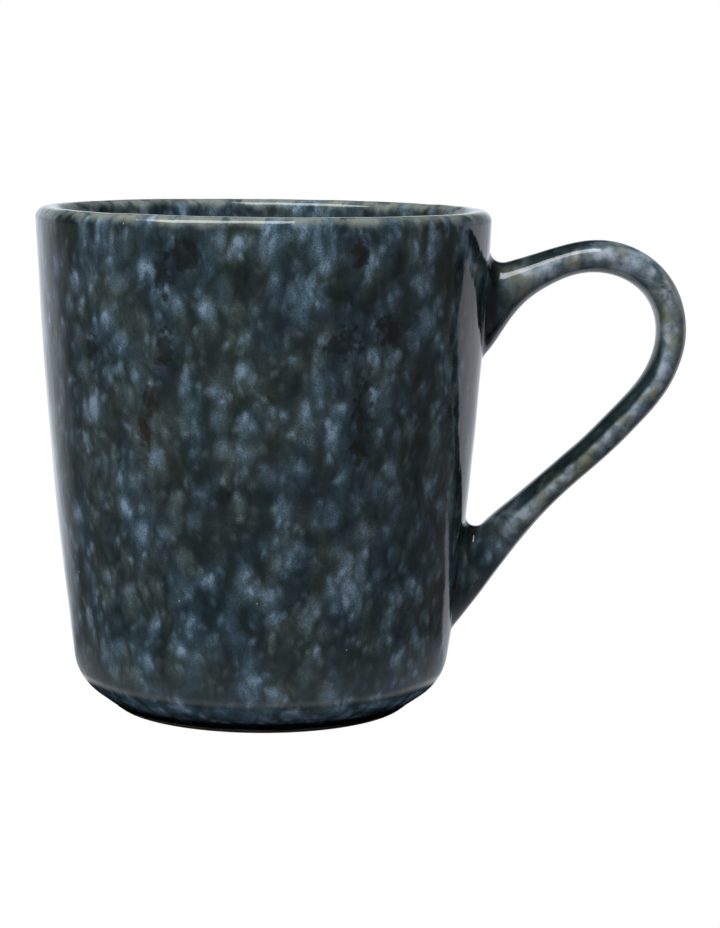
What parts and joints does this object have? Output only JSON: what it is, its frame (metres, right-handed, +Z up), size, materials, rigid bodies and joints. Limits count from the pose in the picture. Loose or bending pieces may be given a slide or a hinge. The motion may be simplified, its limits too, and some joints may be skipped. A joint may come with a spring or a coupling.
{
  "type": "ceramic mug",
  "caption": "Glazed stoneware mug, gently flared, with a bevelled foot and a looped drop-shaped handle, in mottled blue-black reactive glaze.",
  "frame": {"origin": "centre of the foot ring, in the plane of the table that the mug stands on", "axes": "+Z up along the cup's axis, +X from the cup towards the handle, +Y completes the right-handed frame; the plane y = 0 cuts the mug into mirror halves"},
  "size_m": [0.122, 0.0852, 0.094],
  "materials": {
    "clay": "unglazed fired stoneware, fine matt grain",
    "slip": "fired slip, same clay as the body",
    "outside_glaze": "glossy reactive glaze, blue-grey mottles on blue-black",
    "handle_glaze": "the same glaze, paler where it runs thin on the handle",
    "rim_glaze": "the same glaze broken to pale olive grey over the lip",
    "lining_glaze": "glossy mottled glaze that runs down inside from the lip",
    "underside_glaze": "thin glaze in the recess under the floor"
  },
  "bodies": {
    "root": {"cup_body": "clay", "handle": "clay", "upper_joint_slip": "slip", "lower_joint_slip": "slip", "outside_glaze": "outside_glaze", "handle_glaze": "handle_glaze", "rim_glaze": "rim_glaze", "lining_glaze": "lining_glaze", "underside_glaze": "underside_glaze"}
  },
  "joints": []
}
